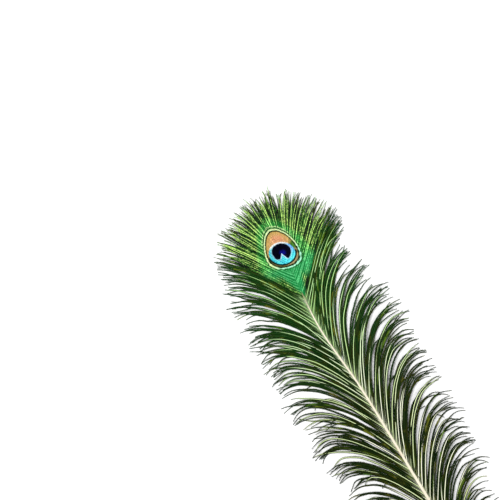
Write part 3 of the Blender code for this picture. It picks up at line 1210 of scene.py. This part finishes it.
def shaft_material():
    """Ivory horn with a lengthwise grain and tan patches, clearer at the quill."""
    made, work = new_material("shaft")
    x, y, z = object_place(work)
    grain = noise(x * 3000.0, y * 26.0, z * 3000.0, detail=4.0)
    blotches = noise(x * 200.0, y * 34.0, detail=3.0)
    ivory, tan = mix(grain, IVORY, IVORY_GRAIN), mix(grain, TAN, TAN_GRAIN)
    colour = blend(ivory, tan, blotches, 0.55, 0.70, most=0.6)
    quill = mix(grain, QUILL, QUILL_GRAIN)
    above_end = y - QUILL_Y
    colour = blend(colour, quill, above_end, *QUILL_CLEARS)
    colour = blend(colour, QUILL_TIP, above_end, *QUILL_DARKENS)
    return surface(
        made,
        Base_Color=blend(colour, SHAFT_BY_EYE, EYE_Y - y, *SHAFT_GREENS),
        Roughness=0.28 + 0.22 * grain,
        Specular_IOR_Level=0.5,
        Coat_Weight=0.25,
        Normal=bumps(grain, 0.25, 0.15 * MM),
    )


def floor_material():
    """A plain pale studio sweep."""
    made, work = new_material("pale floor")
    grain = noise(*(part * 40.0 for part in object_place(work)))
    return surface(made, Base_Color=mix(grain, (0.90,) * 3, (0.93,) * 3), Roughness=0.9)


# -------- pieces


def own(piece):
    """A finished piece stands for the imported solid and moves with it."""
    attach(piece, "root")
    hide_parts("feather")


LOWEST_STEM = float(CAD_LOW.z) + 0.5 * MM
BARB_SIZES = (
    # what, on the loose barbs, on the fan's barbs and on the down
    ("Stations", 26, 26, 12),
    ("Waves", 3.6, 5.0, 5.0),
    ("Wave height", 4.4 * MM, 2.0 * MM, 5.0 * MM),
    ("Lowest", LOWEST_STEM, LOWEST_STEM, LOWEST_STEM + 0.25 * MM),
    ("Stem width", 0.66 * MM, 0.56 * MM, 0.24 * MM),
    ("Stem tip width", 0.36 * MM, 0.26 * MM, 0.10 * MM),
    ("Fringe", 0.60 * MM, 0.42 * MM, 0.0),
    ("Barbule spacing", 0.56 * MM, 0.52 * MM, 0.50 * MM),
    ("Barbule length", 2.60 * MM, 1.60 * MM, 3.2 * MM),
    ("Barbule width", 0.52 * MM, 0.56 * MM, 0.16 * MM),
    ("Barbule angle", math.radians(33.0), math.radians(30.0), math.radians(46.0)),
    ("Fringe opens over", 0.04, 0.06, 0.04),
    ("Fringe fades from", 0.6, 0.75, 0.6),
    ("Fringe fades by", 0.55, 0.6, 0.55),
    ("Points from", 0.88, 0.92, 0.88),
    ("Ridge", 0.35, 0.22, 0.8),
    ("Map rows", 3, 2, 2),
)
LABELS, *COLUMNS = zip(*BARB_SIZES)
LOOSE_SIZES, FAN_SIZES, DOWN_SIZES = (dict(zip(LABELS, column)) for column in COLUMNS)
LOOSE_SIZES["Bare share"], DOWN_SIZES["Bare share"] = 0.045, 0.05
FAN_SIZES.update({"Ribbon ends over": 0.07, "Overlap": 0.62})
SHAFT_SIZES = {"Sides": 20, "Flatness": SHAFT_FLATNESS, "Groove": 0.35}

SEED, DOWN_SEED_STEP = 100, 50
LOOSE_STRETCHES = (
    # name, first y, last y, step from the side's seed
    ("lower", LOOSE_FROM_Y, LOOSE_SPLIT_Y, 10),
    ("upper", LOOSE_SPLIT_Y, LOOSE_TO_Y, 20),
)


def build_feather():
    loose_tree, fan_tree = loose_barb_tree(), fan_barb_tree()
    loose_looks, fan_looks, down_looks = loose_barb_material(), eye_vane_material(), down_material()
    own(grow("shaft", shaft_line(), shaft_tree(), SHAFT_SIZES, shaft_material()))
    for side, word in ((1, "right"), (-1, "left")):
        seed = SEED + side
        roots = seedbed(fan_barbs(side, seed))
        own(grow(f"eye_fan_{word}", roots, fan_tree, FAN_SIZES, fan_looks))
        for part, from_y, to_y, step in LOOSE_STRETCHES:
            name = f"loose_barbs_{word}_{part}"
            roots = seedbed(loose_barbs(side, from_y, to_y, seed + step))
            own(grow(name, roots, loose_tree, LOOSE_SIZES, loose_looks))
        roots = seedbed(down_barbs(side, seed + DOWN_SEED_STEP))
        own(grow(f"down_{word}", roots, loose_tree, DOWN_SIZES, down_looks))


# -------- stage


CAMERA_LENS = 85.0
CAMERA_SENSOR = 36.0
CAMERA_NEAREST = 0.05
CAMERA_OFFSET = (-0.0282, 0.0163)
CAMERA_TURN = math.radians(-30.0)
FIELD_WIDTH = 0.525

FLOOR_HALF = 2.5
FLOOR_GAP = 0.0002
LIGHTS = (
    # name, place, what it aims at, size, watts
    ("window", (-0.30, 0.55, 1.35), (0.0, 0.05, 0.0), 0.45, 17.0),
    ("fill", (0.5, -0.5, 1.4), (0.0, -0.1, 0.0), 1.0, 8.0),
)
SKY_STRENGTH = 0.50


def place_camera():
    """Straight above the feather, which runs from upper left to lower right in the frame."""
    lens = bpy.data.cameras.new("camera")
    lens.lens = CAMERA_LENS
    lens.sensor_width = CAMERA_SENSOR
    lens.clip_start = CAMERA_NEAREST
    camera = new_object("camera", lens)
    height = FIELD_WIDTH * CAMERA_LENS / CAMERA_SENSOR
    camera.location = (EYE_X + CAMERA_OFFSET[0], EYE_Y + CAMERA_OFFSET[1], height)
    camera.rotation_euler = (0.0, 0.0, CAMERA_TURN)
    bpy.context.scene.camera = camera


def add_light(name, place, target, size, watts):
    light = bpy.data.lights.new(name, "AREA")
    light.size = size
    light.energy = watts
    lamp = new_object(name, light)
    lamp.location = place
    run = np.array(target) - np.array(place)
    tilt = math.acos(-run[2] / np.linalg.norm(run))
    lamp.rotation_euler = (tilt, 0.0, math.atan2(run[0], -run[1]) + math.pi)


def add_floor():
    """A flat square just below the feather's lowest point."""
    low_z = CAD_LOW.z - FLOOR_GAP
    quarters = ((-1, -1), (1, -1), (1, 1), (-1, 1))
    corners = [(x * FLOOR_HALF, y * FLOOR_HALF, low_z) for x, y in quarters]
    mesh = bpy.data.meshes.new("floor")
    mesh.from_pydata(corners, [], [(0, 1, 2, 3)])
    mesh.materials.append(floor_material())
    floor = new_object("floor", mesh)


def build_stage():
    add_floor()
    for light in LIGHTS:
        add_light(*light)
    world = bpy.data.worlds.new("studio")
    bpy.context.scene.world = world
    world.use_nodes = True
    sky = {"Color": (1.0,) * 3, "Strength": SKY_STRENGTH}
    NodeWork(world.node_tree).fill(world.node_tree.nodes["Background"], sky)
    bpy.context.scene.view_settings.view_transform = "Standard"


place_camera()
build_feather()
build_stage()
